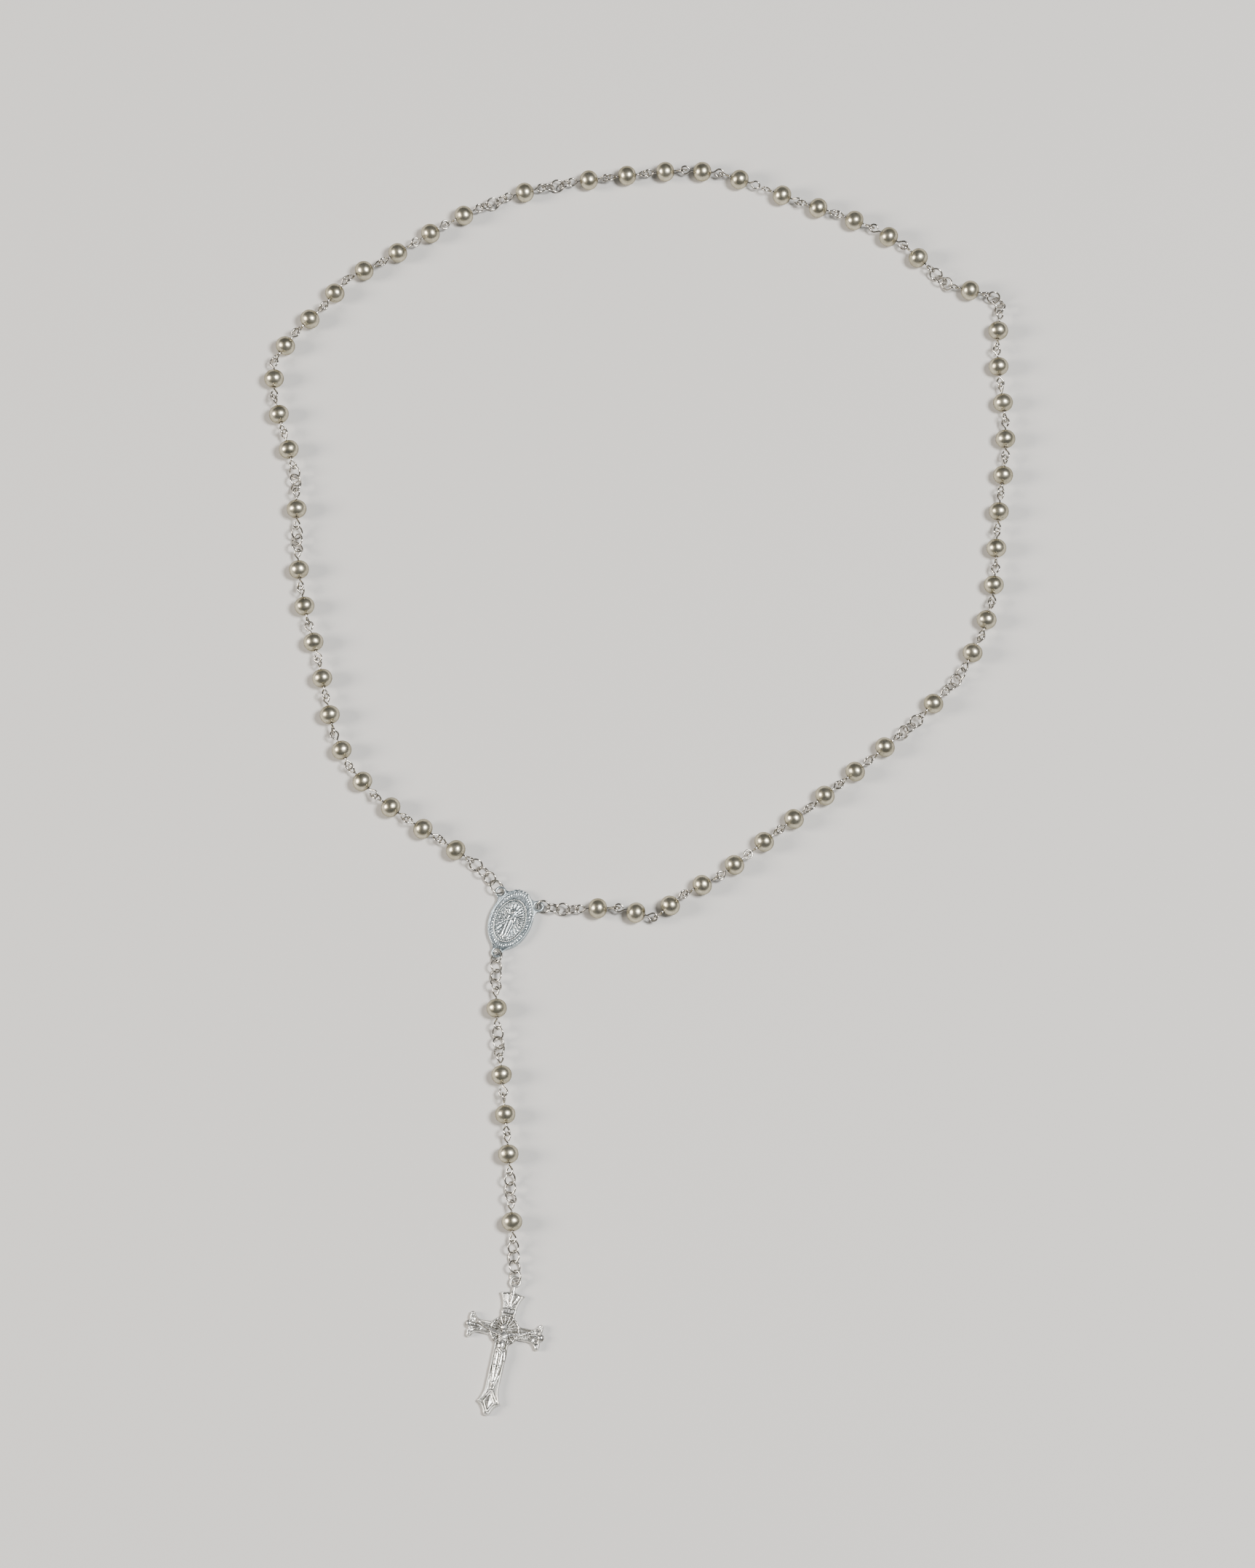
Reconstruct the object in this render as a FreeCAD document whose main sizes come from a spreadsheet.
"""Five-decade rosary of metal beads on wire eye pins, lying flat in a loop.

Frame: millimetres, +Z up. The origin is the middle of the centre medal's back face, which lies on
the plane z = 0 with every bead. +Y runs from the medal up through the loop, and the pendant with the
crucifix runs towards -Y.

Each bead rides on a wire pin with an eye at both ends. Eye hooks into eye between Hail Mary beads,
and three plain rings part an Our Father bead from its neighbours. One bead with its pin and its share
of the rings is one link of the chain, and a link turns on the next one where two wires hook.
"""
import FreeCAD, Part
import math
import os
import Sketcher

from FreeCAD import Placement, Rotation, Vector

# alias, value in mm, what it is
DRIVING_DIMENSIONS = [
    ("bead_diameter", 6.0, "across the bead, square to its hole"),
    ("bead_length", 5.4, "along the hole"),
    ("bead_hole", 1.0, "hole for the pin"),
    ("wire_diameter", 0.6, "wire of pins and rings"),
    ("eye_reach", 6.5, "bead centre to the middle of the wire at the eye's far end"),
    ("eye_radius", 1.2, "middle of the wire round the eye"),
    ("eye_throat", 3.4, "bead centre to where the eye's two sides would meet"),
    ("throat_bend", 0.6, "radius of the bend from stem to eye"),
    ("tip_gap", 0.65, "wire left off where the eye closes"),
    ("ring_diameter", 4.3, "plain ring, outside"),
    ("jump_ring_diameter", 5.0, "ring in the medal's first ear, outside"),
    ("hook_gap", 0.95, "between the middles of two hooked wires on a hinge"),
    ("ring_gap", 0.75, "the same between two rings of one link"),
    ("ear_gap", 1.7, "the same between a ring and the bar of a cast ear"),
    ("ear_radius", 1.4, "middle of a cast ear's bar"),
    ("ear_thickness", 0.7, "bar of a cast ear"),
    ("ear_level", 1.4, "middle of a cast ear above the table"),
    ("medal_length", 19.2, "oval body"),
    ("medal_width", 12.8, "oval body"),
    ("medal_thickness", 2.0, "at the rim"),
    ("medal_rim", 0.5, "width of the rim"),
    ("medal_recess", 0.5, "rim above the band"),
    ("medal_relief", 0.3, "centre plaque above the band"),
    ("plaque_length", 13.6, "centre plaque"),
    ("plaque_width", 8.8, "centre plaque"),
    ("ear_side", 6.0, "upper ears, sideways from the medal's middle"),
    ("ear_rise", 6.8, "upper ears, up from the medal's middle"),
    ("ear_drop", 10.8, "lower ear, down from the medal's middle"),
    ("cross_thickness", 1.7, "flat of the cross"),
    ("cross_top", 11.9, "crossing to the top edge"),
    ("cross_foot", 25.6, "crossing to the lowest point"),
    ("cross_arm", 11.6, "crossing to the end of an arm"),
    ("cross_bar", 4.1, "width of the upright"),
    ("halo_radius", 4.4, "round boss at the crossing"),
    ("halo_height", 2.0, "round boss above the back"),
    ("corpus_height", 2.9, "front of the figure above the back"),
    ("bail_rise", 14.7, "crossing to the middle of the hanging eye"),
    ("ring_level", 1.8, "middle of a sagging ring above the table"),
]

MEDAL_TURN = -22.0    # the medal lies turned clockwise, degrees about Z
CROSS_TURN = -12.0    # and so does the crucifix
DECADE = 10           # Hail Mary beads in a decade
END_RINGS = 4         # rings at the medal and at the crucifix
OPEN_AFTER = 5        # the loop is opened after this bead of the third decade
OPEN_GAP = 0.4        # free space between the two eyes at the open place

# Points that the loop passes, from the medal's first ear round to its second, chosen by hand.
LOOP_ROUTE = [
    (-4, 10), (-16, 21), (-37, 35), (-51, 52), (-57, 77), (-63, 100), (-65, 124), (-67, 146),
    (-72, 162), (-73, 173), (-71, 182), (-61, 190), (-54, 201), (-44, 207), (-25, 219), (6, 233),
    (38, 238), (60, 239), (84, 230), (106, 222), (125, 209), (138, 199), (147, 197), (147, 187),
    (147, 174), (149, 151), (146, 126), (144, 100), (137, 81), (111, 53), (92, 37), (73, 22),
    (55, 9), (46, 4), (41.5, -0.5), (36, 2), (26, 3), (10, 4),
]
PENDANT_ROUTE = [(-4, -11), (-4, -29), (-2, -52), (0, -76), (1, -95), (2.3, -112)]

# Hooks with more slack, where wires have slid further into each other, by the link before the hook.
HOOK_SLACK = {
    "decade_2_hail_mary_04": 0.4,
    "decade_2_hail_mary_05": 0.4,
    "decade_3_hail_mary_03": 0.4,
    "decade_3_hail_mary_10": 0.4,
    "decade_4_hail_mary_09": 0.4,
    "decade_4_hail_mary_10": 0.4,
    "decade_5_hail_mary_05": 0.4,
    "decade_5_hail_mary_06": 0.4,
    "decade_5_hail_mary_07": 0.3,
    "decade_5_hail_mary_08": 0.3,
    "decade_5_hail_mary_10": 0.3,
}
# The same between the rings inside one link.
RING_SLACK = {
    "loop_our_father_1": 0.6,
    "loop_our_father_3_and_decade_4_hail_mary_01": 0.6,
}


def make_sheet(doc):
    """The driving dimensions, one row each."""
    sheet = doc.addObject("Spreadsheet::Sheet", "sizes")
    for row, (alias, value, note) in enumerate(DRIVING_DIMENSIONS, start=1):
        sheet.set(f"A{row}", alias)
        sheet.set(f"B{row}", str(value))
        sheet.set(f"C{row}", note)
        sheet.setAlias(f"B{row}", alias)
    doc.recompute()
    return sheet


doc = FreeCAD.newDocument("rosary")
sizes = make_sheet(doc)
UP = Vector(0, 0, 1)
EYE_FOOT_ANGLE = math.asin(sizes.eye_radius / (sizes.eye_reach - sizes.eye_radius - sizes.eye_throat))


def add(kind, name, placement=Placement(), **bound):
    """A document object whose properties follow the sheet."""
    thing = doc.addObject(kind, name)
    thing.Label = name
    thing.Placement = placement
    for prop, expression in bound.items():
        thing.setExpression(prop, expression)
    return thing


def join(kind, name, pieces):
    """A boolean or a compound of earlier objects."""
    thing = doc.addObject(kind, name)
    thing.Label = name
    if kind == "Part::Cut":
        thing.Base, thing.Tool = pieces
    elif kind == "Part::Compound":
        thing.Links = pieces
    else:
        thing.Shapes = pieces
    return thing


def origin_plane(body, role):
    return next(o for o in body.Origin.OriginFeatures if o.Role == role)


def at(x=0.0, y=0.0, z=0.0, turn=0.0, axis=UP):
    return Placement(Vector(x, y, z), Rotation(axis, turn))


# ---- masters: one bead, the pins by twist, two rings

def make_bead():
    """An oblate bead turned about X, with its hole along X."""
    body = doc.addObject("PartDesign::Body", "bead")
    body.Label = "bead"
    sketch = body.newObject("Sketcher::SketchObject", "bead_half")
    sketch.AttachmentSupport = (origin_plane(body, "XY_Plane"), [""])
    sketch.MapMode = "FlatFace"
    half, top, bore = sizes.bead_length / 2, sizes.bead_diameter / 2, sizes.bead_hole / 2
    arc = Part.Arc(Vector(half, bore, 0), Vector(0, top, 0), Vector(-half, bore, 0))
    sketch.addGeometry(arc, False)
    sketch.addGeometry(Part.LineSegment(Vector(-half, bore, 0), Vector(half, bore, 0)), False)
    for constraint in [
        Sketcher.Constraint("Coincident", 0, 2, 1, 1),
        Sketcher.Constraint("Coincident", 1, 2, 0, 1),
        Sketcher.Constraint("Symmetric", 1, 1, 1, 2, -2),
        Sketcher.Constraint("DistanceX", 1, 1, 1, 2, sizes.bead_length),
        Sketcher.Constraint("DistanceY", -1, 1, 1, 1, bore),
        Sketcher.Constraint("Radius", 0, arc.toShape().Curve.Radius),
    ]:
        sketch.addConstraint(constraint)
    sketch.setExpression("Constraints[3]", "sizes.bead_length")
    sketch.setExpression("Constraints[4]", "sizes.bead_hole / 2")
    sketch.setExpression(
        "Constraints[5]",
        "sizes.bead_diameter / 2 - (sizes.bead_diameter ^ 2 - sizes.bead_length ^ 2"
        " - sizes.bead_hole ^ 2) / (4 * (sizes.bead_diameter - sizes.bead_hole))",
    )
    turned = body.newObject("PartDesign::Revolution", "bead_turned")
    turned.Profile = (sketch, [""])
    turned.ReferenceAxis = (sketch, ["H_Axis"])
    turned.Angle = 360
    return body


def make_ring(name, diameter):
    """A closed ring lying in XY."""
    return add("Part::Torus", name,
               Radius1=f"(sizes.{diameter} - sizes.wire_diameter) / 2",
               Radius2="sizes.wire_diameter / 2")


def eye_edges(twist):
    """The wire's middle line from the stem round one eye to its tip, along +X, rolled by twist."""
    angle = EYE_FOOT_ANGLE
    slope = Vector(math.cos(angle), math.sin(angle), 0)
    square = Vector(-math.sin(angle), math.cos(angle), 0)
    centre = Vector(sizes.eye_reach - sizes.eye_radius, 0, 0)
    foot = Vector(sizes.eye_throat, 0, 0)
    bend_run = sizes.throat_bend * math.tan(angle / 2)
    bend_start = foot - Vector(bend_run, 0, 0)
    bend_end = foot + slope * bend_run
    bend_centre = bend_start + Vector(0, sizes.throat_bend, 0)
    bend_middle = bend_centre + Vector(math.sin(angle / 2), -math.cos(angle / 2), 0) * sizes.throat_bend
    round_start = centre + square * sizes.eye_radius
    round_end = Vector(round_start.x, -round_start.y, 0)
    tip = foot + Vector(slope.x, -slope.y, 0) * sizes.tip_gap
    edges = [
        Part.LineSegment(Vector(0, 0, 0), bend_start).toShape(),
        Part.Arc(bend_start, bend_middle, bend_end).toShape(),
        Part.LineSegment(bend_end, round_start).toShape(),
        Part.Arc(round_start, Vector(sizes.eye_reach, 0, 0), round_end).toShape(),
        Part.LineSegment(round_end, tip).toShape(),
    ]
    for edge in edges:
        edge.rotate(Vector(), Vector(1, 0, 0), twist)
    return edges


def make_pin(twist):
    """A straight pin along X with an eye at each end, the far eye twisted against the near one."""
    near = eye_edges(0)
    for edge in near:
        edge.rotate(Vector(), UP, 180)
    path = doc.addObject("Part::Feature", f"pin_line_{twist}")
    path.Shape = Part.Wire(Part.__sortEdges__(near + eye_edges(twist)))
    start = path.Shape.OrderedVertexes[0].Point
    heading = path.Shape.OrderedEdges[0].tangentAt(path.Shape.OrderedEdges[0].FirstParameter)
    section = add("Part::Circle", f"pin_section_{twist}", Placement(start, Rotation(UP, heading)),
                  Radius="sizes.wire_diameter / 2")
    pin = doc.addObject("Part::Sweep", f"pin_{twist}")
    pin.Sections = [section]
    pin.Spine = (path, [f"Edge{n + 1}" for n in range(len(path.Shape.Edges))])
    pin.Solid = True
    return pin


# ---- the centre medal, one casting: oval body, raised rim and plaque, three ears

def oval(name, length, width, height, lift=0.0):
    """An upright oval cylinder, its long axis along Y."""
    edge = add("Part::Ellipse", f"{name}_edge", at(z=lift, turn=90),
               MajorRadius=f"({length}) / 2",
               MinorRadius=f"({width}) / 2")
    solid = add("Part::Extrusion", name, LengthFwd=height)
    solid.Base = edge
    solid.Dir = UP
    solid.DirMode = "Custom"
    solid.Solid = True
    return solid


def cast_ear(name, x, y):
    """A round-barred ring in the plane of the casting."""
    return add("Part::Torus", name, at(x, y, sizes.ear_level),
               Radius1="sizes.ear_radius",
               Radius2="sizes.ear_thickness / 2")


EAR_LEFT = Vector(-sizes.ear_side, sizes.ear_rise, sizes.ear_level)
EAR_RIGHT = Vector(sizes.ear_side, sizes.ear_rise, sizes.ear_level)
EAR_LOW = Vector(0, -sizes.ear_drop, sizes.ear_level)


def make_medal():
    """The medal in its own frame, long axis along Y, back at z = 0."""
    blank = oval("medal_blank", "sizes.medal_length", "sizes.medal_width", "sizes.medal_thickness")
    sunk = oval("medal_sunk",
                "sizes.medal_length - 2 * sizes.medal_rim",
                "sizes.medal_width - 2 * sizes.medal_rim",
                "sizes.medal_thickness",
                lift=sizes.medal_thickness - sizes.medal_recess)
    dish = join("Part::Cut", "medal_dish", [blank, sunk])
    plaque = oval("medal_plaque", "sizes.plaque_length", "sizes.plaque_width",
                  "sizes.medal_thickness - sizes.medal_recess + sizes.medal_relief")
    bores = []
    ears = []
    for n, ear in enumerate((EAR_LEFT, EAR_RIGHT, EAR_LOW)):
        ears.append(cast_ear(f"medal_ear_{n}", ear.x, ear.y))
        bores.append(add("Part::Cylinder", f"medal_ear_bore_{n}", at(ear.x, ear.y),
                         Radius="sizes.ear_radius - sizes.ear_thickness / 2",
                         Height="sizes.medal_thickness"))
    solid = join("Part::MultiFuse", "medal_solid", [dish, plaque] + ears)
    return join("Part::Cut", "medal_cast", [solid, join("Part::MultiFuse", "medal_bores", bores)])


# ---- the crucifix, one casting: flat cross, boss, lozenge, hanging eye and low figure

def cross_outline():
    """The right half of the cross's edge from the top down, as (kind, points), crossing at (0, 0)."""
    bar = sizes.cross_bar / 2
    arm = sizes.cross_arm
    top = sizes.cross_top
    foot = sizes.cross_foot
    flare = foot - 3.8
    return [
        ("arc", (1.9, top - 0.5), (3.8, top - 0.8)),
        ("arc", (2.7, top - 2.7), (bar + 0.1, top - 5.2)),
        ("line", (bar, 2.0)),
        ("line", (arm - 4.6, 1.9)),
        ("arc", (arm - 3.0, 2.4), (arm - 1.8, 3.9)),
        ("arc", (arm - 0.6, 3.4), (arm - 0.9, 1.3)),
        ("arc", (arm, 0.0), (arm - 0.9, -1.3)),
        ("arc", (arm - 0.6, -3.4), (arm - 1.8, -3.9)),
        ("arc", (arm - 3.0, -2.4), (arm - 4.6, -1.9)),
        ("line", (bar, -2.0)),
        ("line", (bar, -(flare - 4.6))),
        ("arc", (bar + 0.5, -(flare - 2.0)), (3.6, -flare)),
        ("arc", (2.1, -(flare + 1.1)), (1.2, -(foot - 1.1))),
        ("arc", (0.85, -(foot - 0.35)), (0.0, -foot)),
    ]


def outline_face(start, steps):
    """A flat face from a right half edge and its mirror image in the Y axis."""
    right = []
    here = start
    for kind, *points in steps:
        ends = [Vector(x, y, 0) for x, y in points]
        if kind == "line":
            right.append(Part.LineSegment(here, ends[0]).toShape())
        else:
            right.append(Part.Arc(here, *ends).toShape())
        here = ends[-1]
    left = [edge.mirror(Vector(), Vector(1, 0, 0)) for edge in right]
    return Part.Face(Part.Wire(Part.__sortEdges__(right + left)))


def rod(name, start, end, start_radius, end_radius):
    """A tapered round rod between two points."""
    along = end - start
    taper = add("Part::Cone", name, Placement(start, Rotation(UP, along)))
    taper.Radius1 = start_radius
    taper.Radius2 = end_radius
    taper.Height = along.Length
    return taper


def ball(name, centre, radius_x, radius_y, radius_z):
    body = add("Part::Ellipsoid", name, Placement(centre, Rotation()))
    body.Radius1 = radius_z
    body.Radius2 = radius_x
    body.Radius3 = radius_y
    return body


def make_figure():
    """The corpus in low relief: head, trunk, cloth, arms along the cross-bar and legs."""
    back = sizes.cross_thickness
    front = sizes.corpus_height
    return [
        ball("corpus_head", Vector(-0.3, 0.7, back + 0.3), 0.85, 1.05, front - back - 0.3),
        ball("corpus_trunk", Vector(0, -3.0, back), 1.35, 3.0, front - back),
        ball("corpus_cloth", Vector(0, -6.4, back), 1.4, 1.5, front - back - 0.1),
        rod("corpus_arm_left", Vector(-0.9, -1.3, back + 0.1), Vector(-8.3, 1.0, back), 0.6, 0.4),
        rod("corpus_arm_right", Vector(0.9, -1.3, back + 0.1), Vector(8.3, 1.0, back), 0.6, 0.4),
        rod("corpus_leg_left", Vector(-0.5, -7.0, back + 0.1), Vector(-0.25, -16.4, back + 0.1), 0.7, 0.5),
        rod("corpus_leg_right", Vector(0.5, -7.0, back + 0.1), Vector(0.25, -16.4, back + 0.1), 0.7, 0.5),
    ]


def make_crucifix():
    """The crucifix in its own frame: crossing at the origin, top along +Y, back at z = 0."""
    outline = doc.addObject("Part::Feature", "cross_outline")
    outline.Shape = outline_face(Vector(0, sizes.cross_top, 0), cross_outline())
    flat = add("Part::Extrusion", "cross_flat", LengthFwd="sizes.cross_thickness")
    flat.Base = outline
    flat.Dir = UP
    flat.DirMode = "Custom"
    flat.Solid = True
    halo = add("Part::Cylinder", "cross_boss",
               Radius="sizes.halo_radius",
               Height="sizes.halo_height")
    eye = cast_ear("cross_eye", 0, sizes.bail_rise)
    neck = rod("cross_neck", Vector(0, sizes.cross_top - 1.0, sizes.cross_thickness / 2),
               Vector(0, sizes.bail_rise - sizes.ear_radius, sizes.ear_level), 0.8, 0.45)
    return join("Part::MultiFuse", "crucifix_cast", [flat, halo, eye, neck] + make_figure())


# ---- how the chain lies: one hook point after another along its route

class Piece:
    """One pin or ring between two hook points, rolled about the line between them."""

    def __init__(self, kind, node, start, end, start_gap, end_gap, roll, far_roll):
        ahead = (end - start).normalize()
        middle = (start - ahead * (start_gap / 2) + end + ahead * (end_gap / 2)) / 2
        self.kind = kind
        self.node = node
        self.ahead = ahead
        self.placement = Placement(middle, facing(ahead)) * at(turn=roll, axis=Vector(1, 0, 0))
        self.twist = (far_roll - roll) % 180


def facing(ahead):
    """The rotation whose X axis points ahead and whose Y axis is level."""
    side = UP.cross(ahead).normalize()
    return Rotation(ahead, side, ahead.cross(side), "XYZ")


def smooth(points):
    curve = Part.BSplineCurve()
    curve.interpolate([Vector(x, y, 0) for x, y in points])
    return curve


def flat_distance(a, b):
    return math.hypot(a.x - b.x, a.y - b.y)


def step_along(curve, parameter, here, reach):
    """The next parameter at which the curve is as far from here as reach."""
    low = high = parameter
    while flat_distance(curve.value(high), here) < reach and high < curve.LastParameter:
        low = high
        high += 0.5
    for _ in range(50):
        middle = (low + high) / 2
        if flat_distance(curve.value(middle), here) < reach:
            low = middle
        else:
            high = middle
    return high


def link(node, before, after, ring="ring"):
    """The pieces of one link in order: rings, the bead's pin, rings."""
    rings = [(ring, node)] + [("ring", node)] * (before - 1) if before else []
    return rings + [("pin", node)] + [("ring", node)] * after


def decade(number, first_rings, first_ring="ring", backwards=False, count=DECADE):
    """The links of a decade, named from the medal's first ear round the loop."""
    order = list(range(1, DECADE + 1))
    if backwards:
        order.reverse()
    order = order[:count]
    pieces = []
    for place, bead in enumerate(order):
        before = first_rings if place == 0 else 0
        after = 1 if place == DECADE - 1 else 0
        pieces += link(f"decade_{number}_hail_mary_{bead:02d}", before, after, first_ring)
    return pieces


LEFT_CHAIN = (
    decade(1, END_RINGS, "jump_ring")
    + link("loop_our_father_1", 2, 2) + decade(2, 1)
    + link("loop_our_father_2", 2, 2) + decade(3, 1, count=OPEN_AFTER)
)
# The bunched chain beside the third Our Father bead is one stiff link with the bead before it.
STIFF_LINK = "loop_our_father_3_and_decade_4_hail_mary_01"
RIGHT_CHAIN = (
    decade(5, END_RINGS, backwards=True)
    + link("loop_our_father_4", 2, 2) + decade(4, 1, backwards=True, count=DECADE - 1)
    + link(STIFF_LINK, 0, 1) + link(STIFF_LINK, 2, 2)
    + decade(3, 1, backwards=True, count=DECADE - OPEN_AFTER)
)
PENDANT_CHAIN = (
    link("pendant_our_father_1", END_RINGS, 2)
    + link("pendant_hail_mary_1", 1, 0)
    + link("pendant_hail_mary_2", 0, 0)
    + link("pendant_hail_mary_3", 0, 1)
    + link("pendant_our_father_2", 2, END_RINGS)
)

# Rolls of the eyes about the chain's line, level at 0, taken in turn.
EYE_ROLLS = [45, -45, 60, -30, -60, 30, 45, -60, 15, -45, 60, -15]
RING_ROLL = 38
JUMP_RING_ROLL = 34.5


def piece_size(kind):
    """Between the middles of the wire at a piece's two ends."""
    if kind == "pin":
        return 2 * sizes.eye_reach
    if kind == "jump_ring":
        return sizes.jump_ring_diameter - sizes.wire_diameter
    return sizes.ring_diameter - sizes.wire_diameter


def across(roll):
    """The roll that crosses another one squarely, between -90 and 90."""
    return roll - 90 if roll > 0 else roll + 90


def hook_gap(before, after, spread):
    """Between the middles of the wires where two pieces hook."""
    if before[1] != after[1]:
        return sizes.hook_gap + spread + HOOK_SLACK.get(before[1], 0)
    if before[0] == after[0]:
        return sizes.ring_gap + RING_SLACK.get(before[1], 0)
    return sizes.ring_gap


def hook_level(before, after):
    if before[0] == "pin" or after[0] == "pin":
        return sizes.bead_diameter / 2
    return sizes.ring_level


def lay(chain, curve, start, spread, last_gap, last_level):
    """Lay a chain along a curve. Returns its pieces, its hook points and the last parameter."""
    pieces = []
    hooks = [start]
    parameter = curve.FirstParameter
    start_gap = sizes.ear_gap
    roll = -1
    for number, (kind, node) in enumerate(chain):
        last = number == len(chain) - 1
        end_gap = last_gap if last else hook_gap(chain[number], chain[number + 1], spread)
        level = last_level if last else hook_level(chain[number], chain[number + 1])
        chord = piece_size(kind) - (start_gap + end_gap) / 2
        reach = math.sqrt(chord ** 2 - (level - hooks[-1].z) ** 2)
        parameter = step_along(curve, parameter, hooks[-1], reach)
        end = curve.value(parameter)
        end.z = level
        if kind == "pin":
            after_ring = number > 0 and chain[number - 1][0] != "pin"
            roll = math.copysign(45, across(roll)) if after_ring else across(roll)
            far_roll = EYE_ROLLS[number % len(EYE_ROLLS)]
            if not last and chain[number + 1][0] != "pin":
                far_roll = math.copysign(45, far_roll)
        else:
            roll = math.copysign(RING_ROLL if kind == "ring" else JUMP_RING_ROLL, across(roll))
            far_roll = roll
        pieces.append(Piece(kind, node, hooks[-1], end, start_gap, end_gap, roll, far_roll))
        hooks.append(end)
        start_gap = end_gap
        roll = far_roll
    return pieces, hooks, parameter


def from_ear(ear, towards):
    """The first hook point outside one of the medal's ears."""
    centre = MEDAL_PLACE.multVec(ear)
    heading = Vector(*towards, 0) - Vector(centre.x, centre.y, 0)
    return centre + heading.normalize() * (sizes.ear_radius - sizes.ear_gap / 2)


MEDAL_PLACE = at(turn=MEDAL_TURN)


def lay_loop(spread):
    """Both sides of the loop and the free length left between their ends."""
    curve = smooth(LOOP_ROUTE)
    back_curve = smooth(LOOP_ROUTE[::-1])
    level = sizes.bead_diameter / 2
    left = lay(LEFT_CHAIN, curve, from_ear(EAR_LEFT, LOOP_ROUTE[1]), spread, 0, level)
    right = lay(RIGHT_CHAIN, back_curve, from_ear(EAR_RIGHT, LOOP_ROUTE[-2]), spread, 0, level)
    free = curve.LastParameter - left[2] - right[2] - sizes.wire_diameter
    return left, right, free


def balanced_spread():
    """The extra slack in each hinge with which the loop's two ends just fail to meet."""
    low, high = -0.5, 1.0
    for _ in range(40):
        middle = (low + high) / 2
        if lay_loop(middle)[2] < OPEN_GAP:
            low = middle
        else:
            high = middle
    return high


# ---- the nodes, each written to a file of its own, and the hinges between them

def placed_copy(master, name, placement):
    copy = doc.addObject("App::Link", name)
    copy.LinkedObject = master
    copy.Placement = placement
    return copy


def make_node(name, pieces, masters):
    """One link of the chain: its bead, pin and rings as separate solids about the bead's middle."""
    home = next(piece for piece in pieces if piece.kind == "pin").placement
    copies = []
    for piece in pieces:
        local = home.inverse() * piece.placement
        master = masters[f"pin_{piece.twist:.0f}" if piece.kind == "pin" else piece.kind]
        copies.append(placed_copy(master, f"{name}_{piece.kind}_{len(copies)}", local))
        if piece.kind == "pin":
            copies.append(placed_copy(masters["bead"], f"{name}_bead_{len(copies)}", local))
    node = join("Part::Compound", name, copies)
    node.Placement = home
    return node


def hinge_axis(before, after, style):
    """A level axis across the chain, or an upright one."""
    if style == "upright":
        return UP
    return UP.cross(before + after).normalize()


# Signs of the axes along a chain, so that the far ends of all ranges together fold it to and fro.
FOLD_SIGNS = [1, -1, -1, 1]
# A hinge's swing either way in degrees, by the largest bend at rest that leaves room for it.
SWINGS = [(20, 50), (32, 45), (50, 40), (90, 15)]
# The most where a hook has more slack.
SLACK_SWING = 35
# The flat eyes of the medal and the crucifix give a ring less room, mostly on one side.
EYE_SWINGS = {
    "decade_1_hail_mary_01": (0, 28),
    "decade_5_hail_mary_10": (-5, 30),
    "pendant_our_father_1": (-5, 30),
    "crucifix": (0, 45),
}


def swing_range(parent, child, bend):
    swing = next(swing for limit, swing in SWINGS if bend < limit)
    if parent in HOOK_SLACK:
        swing = min(swing, SLACK_SWING)
    return EYE_SWINGS.get(child, (-swing, swing))


def find_hinges(pieces, hooks, first_body, styles=("level",)):
    """(name, parent, child, point, axis, range in degrees) where the body changes along a chain."""
    hinges = []
    body = first_body
    before = pieces[0].ahead
    for piece, hook in zip(pieces, hooks):
        if piece.node != body:
            number = len(hinges)
            style = styles[number % len(styles)]
            axis = hinge_axis(before, piece.ahead, style) * FOLD_SIGNS[number % len(FOLD_SIGNS)]
            bend = math.degrees(before.getAngle(piece.ahead))
            hinges.append((f"{piece.node}_hinge", body, piece.node, hook, axis,
                           swing_range(body, piece.node, bend)))
            body = piece.node
        before = piece.ahead
    return hinges


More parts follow.
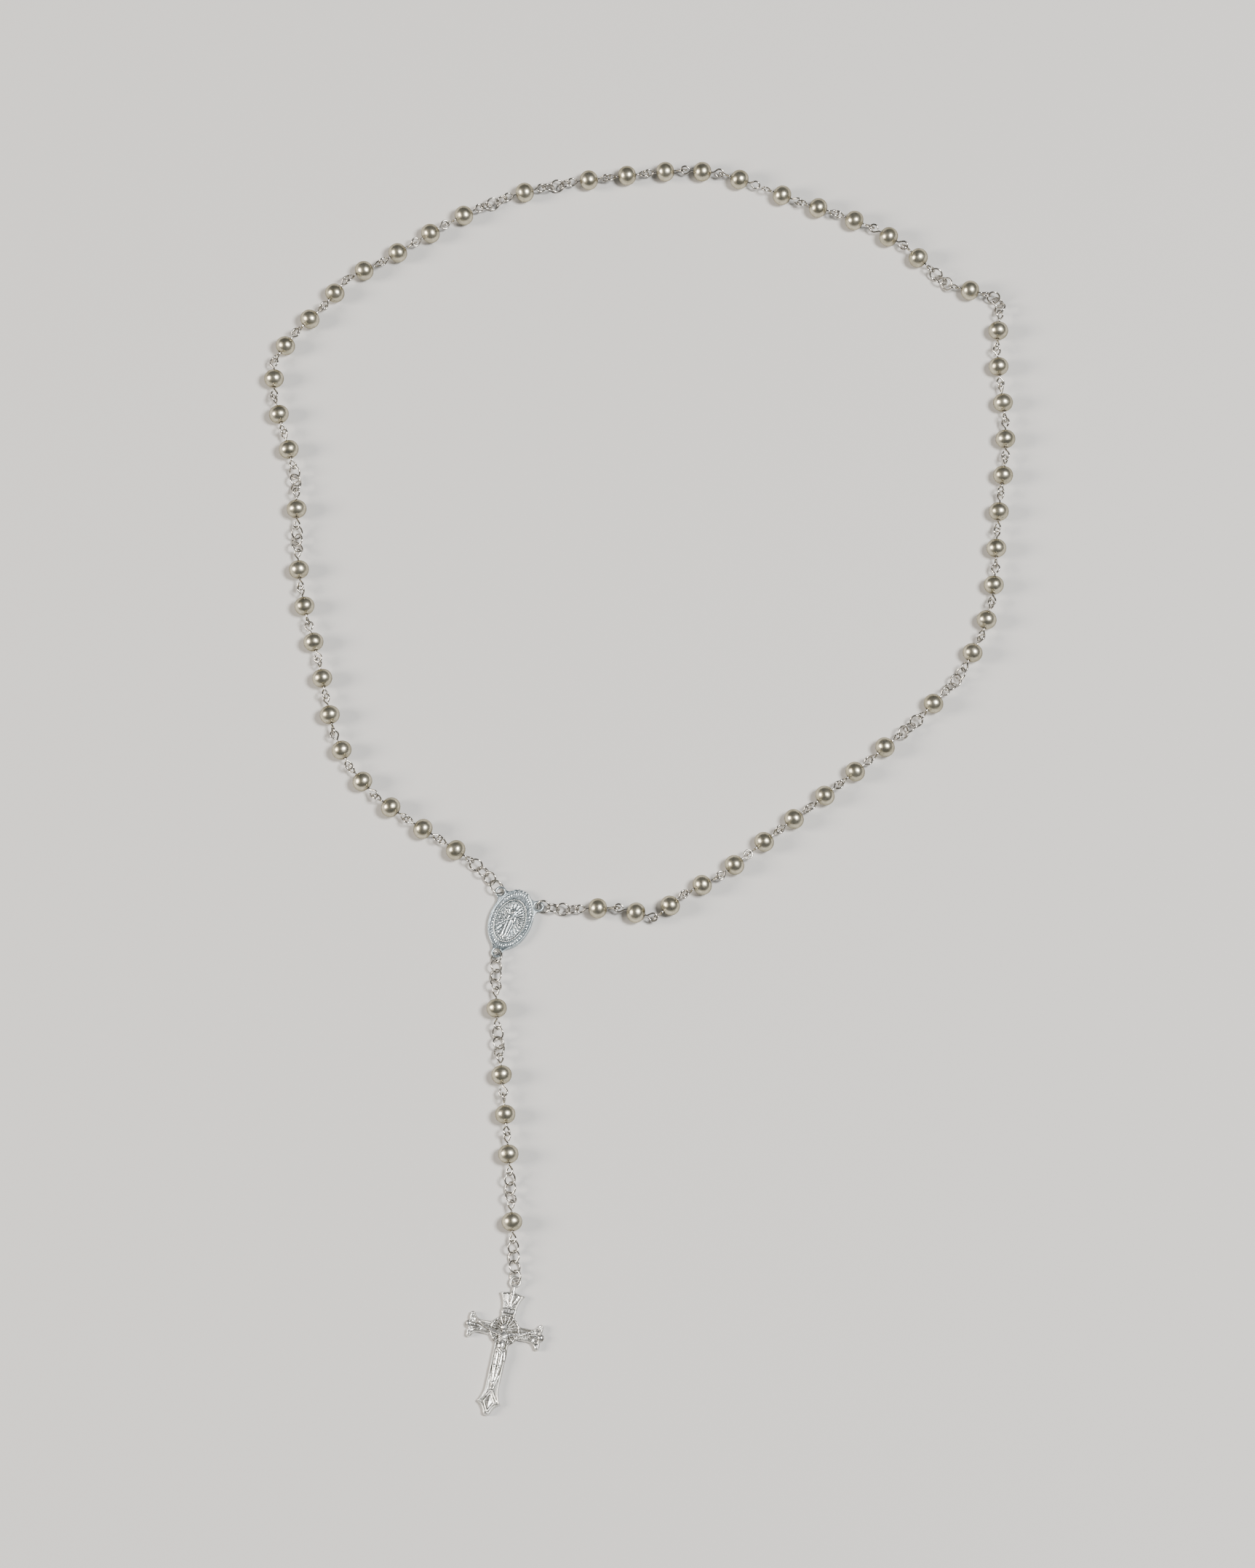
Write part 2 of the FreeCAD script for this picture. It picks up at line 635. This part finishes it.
spread = balanced_spread()
left, right, free_length = lay_loop(spread)
pendant = lay(PENDANT_CHAIN, smooth(PENDANT_ROUTE), from_ear(EAR_LOW, PENDANT_ROUTE[1]), 0,
              sizes.ear_gap, sizes.ear_level)
all_pieces = left[0] + right[0] + pendant[0]

masters = {"bead": make_bead()}
masters["ring"] = make_ring("ring", "ring_diameter")
masters["jump_ring"] = make_ring("jump_ring", "jump_ring_diameter")
for twist in sorted({round(piece.twist) for piece in all_pieces if piece.kind == "pin"}):
    masters[f"pin_{twist}"] = make_pin(twist)

nodes = []
for name in dict.fromkeys(piece.node for piece in all_pieces):
    nodes.append(make_node(name, [piece for piece in all_pieces if piece.node == name], masters))

medal = join("Part::Compound", "centre_medal", [make_medal()])
medal.Placement = MEDAL_PLACE
nodes.append(medal)

bail_hook = pendant[1][-1]
cross_turn = at(turn=CROSS_TURN)
hang = cross_turn.multVec(Vector(0, sizes.bail_rise, 0))
drop = cross_turn.multVec(Vector(0, 1, 0)) * (sizes.ear_radius - sizes.ear_gap / 2)
cross_place = Placement(Vector(bail_hook.x, bail_hook.y, 0) - hang - drop, cross_turn.Rotation)
crucifix = join("Part::Compound", "crucifix", [make_crucifix()])
crucifix.Placement = cross_place
nodes.append(crucifix)

HINGES = (
    find_hinges(left[0], left[1], "centre_medal")
    + find_hinges(right[0], right[1], "centre_medal")
    + find_hinges(pendant[0], pendant[1], "centre_medal", ("level", "upright"))
)
HINGES.append(("crucifix_hinge", pendant[0][-1].node, "crucifix", bail_hook, UP,
               swing_range(pendant[0][-1].node, "crucifix", 0)))

doc.recompute()


def check_document():
    """Stop before anything is written if an object failed or a solid is bad."""
    for thing in doc.Objects:
        if "Invalid" in thing.State or "Error" in thing.State:
            raise RuntimeError(f"{thing.Label} failed: {thing.State}")
    for node in nodes:
        if node.Shape.isNull() or not node.Shape.isValid() or not node.Shape.Solids:
            raise RuntimeError(f"{node.Label} has a bad shape")


def write_parts():
    os.makedirs("parts", exist_ok=True)
    for node in nodes:
        node.Shape.exportStep(f"parts/{node.Label}.step")


check_document()
write_parts()
print(f"{len(nodes)} nodes, {len(HINGES)} hinges, hook spread {spread:.3f} mm,",
      f"free length at the open place {free_length:.2f} mm")
